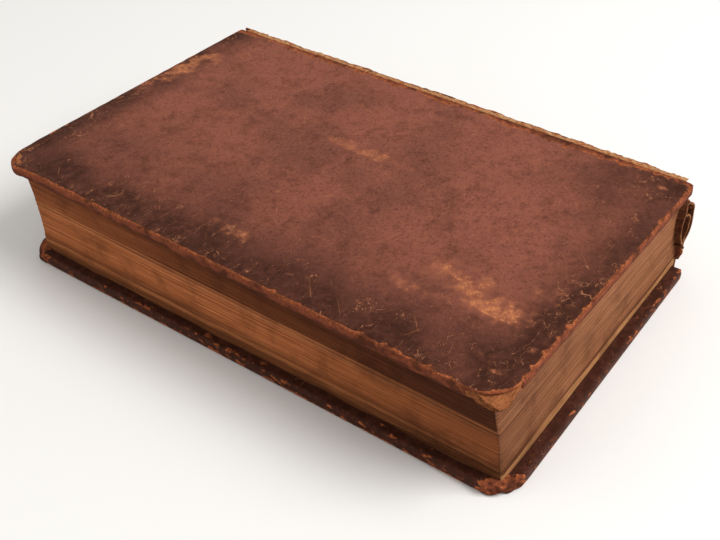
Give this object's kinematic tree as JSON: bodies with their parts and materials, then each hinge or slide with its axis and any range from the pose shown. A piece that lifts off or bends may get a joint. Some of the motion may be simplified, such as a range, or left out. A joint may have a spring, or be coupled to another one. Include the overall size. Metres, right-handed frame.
{
  "type": "leather-bound book",
  "caption": "Worn octavo book in dark calf, its spine torn at the head, with two covers that open on their joints.",
  "frame": {"origin": "on the outer face of the back cover, under the middle of the front cover's length", "axes": "+Z from the back cover up to the front cover, +X from the spine to the fore-edge, +Y from the tail to the head"},
  "size_m": [0.1549, 0.2366, 0.0475],
  "materials": {
    "calf_leather": "worn, dry and red-rotted at the edges",
    "pasteboard": "fibrous where bare",
    "page_paper": "browned leaf edges",
    "pastedown_paper": "aged, matt",
    "tube_paper": "aged, matt",
    "lining_cloth": "glued muslin and paper",
    "hemp_cord": "frayed hemp"
  },
  "bodies": {
    "book_block": {"text_block": "page_paper", "spine_lining": "lining_cloth", "hollow_tube": "tube_paper", "spine_leather": "calf_leather", "sewing_cord_1": "hemp_cord", "sewing_cord_2": "hemp_cord", "sewing_cord_3": "hemp_cord", "sewing_cord_4": "hemp_cord", "sewing_cord_5": "hemp_cord"},
    "front_cover": {"front_board": "pasteboard", "front_leather": "calf_leather", "front_pastedown": "pastedown_paper", "front_slip_1": "hemp_cord", "front_slip_2": "hemp_cord", "front_slip_3": "hemp_cord", "front_slip_4": "hemp_cord", "front_slip_5": "hemp_cord"},
    "back_cover": {"back_board": "pasteboard", "back_leather": "calf_leather", "back_pastedown": "pastedown_paper", "back_slip_1": "hemp_cord", "back_slip_2": "hemp_cord", "back_slip_3": "hemp_cord", "back_slip_4": "hemp_cord", "back_slip_5": "hemp_cord"}
  },
  "joints": [
    {"name": "front_hinge", "type": "hinge", "parent": "book_block", "child": "front_cover", "pos_m": [-0.0708, 0, 0.0475], "axis": [0, -1, 0], "range_deg": [0, 180]},
    {"name": "back_hinge", "type": "hinge", "parent": "book_block", "child": "back_cover", "pos_m": [-0.07234, 0.0016, 0], "axis": [-0.0162, 0.9999, 0], "range_deg": [0, 180]}
  ]
}
